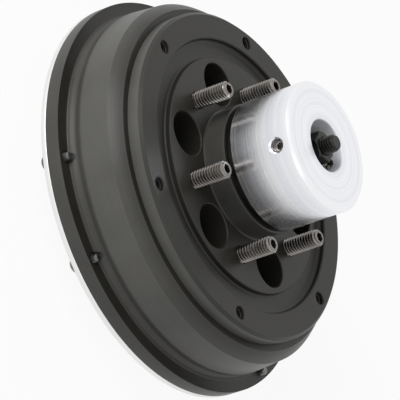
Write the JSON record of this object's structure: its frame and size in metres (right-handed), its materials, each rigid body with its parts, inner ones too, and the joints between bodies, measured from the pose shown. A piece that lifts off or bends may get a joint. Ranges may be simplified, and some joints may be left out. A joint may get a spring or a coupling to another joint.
{
  "type": "torque converter",
  "caption": "Compact bolt-together torque converter: black stepped drum with drive studs, flat rear plate and a bright output hub on a sealed bearing.",
  "frame": {"origin": "centre of the rear neck's end face, the lowest point of the object", "axes": "+Z along the axis of rotation, from the rear neck to the output hub; +X through one of the six drive studs"},
  "size_m": [0.184, 0.184, 0.109],
  "materials": {
    "black_anodised": "satin black anodised",
    "turned_aluminium": "bright turned",
    "plate_aluminium": "bright brushed",
    "stud_steel": "dark oiled thread",
    "black_oxide": "black oxide",
    "machine_steel": "ground and turned",
    "screw_steel": "bright zinc plate",
    "bearing_steel": "polished",
    "bush_bronze": "turned bronze",
    "seal_rubber": "matte",
    "cast_aluminium": "fine cast",
    "pressed_steel": "pressed and brazed",
    "thrust_resin": "moulded phenolic"
  },
  "bodies": {
    "housing": {"front_cover": "black_anodised", "drive_studs": "stud_steel", "flange_screws": "screw_steel", "cover_o_ring": "seal_rubber", "rear_plate": "plate_aluminium", "rear_neck": "machine_steel", "neck_bush": "bush_bronze", "neck_seal": "seal_rubber", "impeller_shell": "cast_aluminium", "impeller_vanes": "cast_aluminium", "impeller_core": "cast_aluminium", "impeller_rivets": "screw_steel", "bearing_outer_race": "bearing_steel", "bearing_circlip": "black_oxide", "shaft_seal": "seal_rubber"},
    "cage": {"bearing_balls": "bearing_steel", "bearing_cage": "bush_bronze"},
    "turbine": {"bearing_inner_race": "bearing_steel", "turbine_shell": "pressed_steel", "turbine_vanes": "pressed_steel", "turbine_core": "pressed_steel", "turbine_hub": "machine_steel", "turbine_rivets": "screw_steel", "turbine_key": "machine_steel", "output_shaft": "black_oxide", "neck_spacer": "black_oxide", "output_hub": "turned_aluminium", "hub_key": "machine_steel", "nut_sleeve": "black_oxide", "hub_washer": "black_oxide", "hub_nut": "black_oxide", "hub_set_screws": "stud_steel"},
    "reaction": {"reaction_tube": "machine_steel", "clutch_inner_race": "bearing_steel", "pilot_bush": "bush_bronze", "turbine_washer": "thrust_resin"},
    "stator": {"stator_wheel": "cast_aluminium", "clutch_outer_race": "machine_steel", "clutch_rollers": "bearing_steel", "clutch_springs": "machine_steel", "stator_rear_washer": "thrust_resin", "stator_front_washer": "thrust_resin"}
  },
  "joints": [
    {"name": "turbine_spin", "type": "hinge", "parent": "housing", "child": "turbine", "pos_m": [0, 0, 0.0603], "axis": [0, 0, 1], "continuous": true},
    {"name": "cage_spin", "type": "hinge", "parent": "housing", "child": "cage", "pos_m": [0, 0, 0.0603], "axis": [0, 0, 1], "continuous": true},
    {"name": "reaction_spin", "type": "hinge", "parent": "housing", "child": "reaction", "pos_m": [0, 0, 0.012], "axis": [0, 0, 1], "continuous": true},
    {"name": "stator_spin", "type": "hinge", "parent": "reaction", "child": "stator", "pos_m": [0, 0, 0.0285], "axis": [0, 0, 1], "continuous": true}
  ],
  "couplings": [
    {"joint": "cage_spin", "follows": "turbine_spin", "ratio": 0.4008}
  ]
}
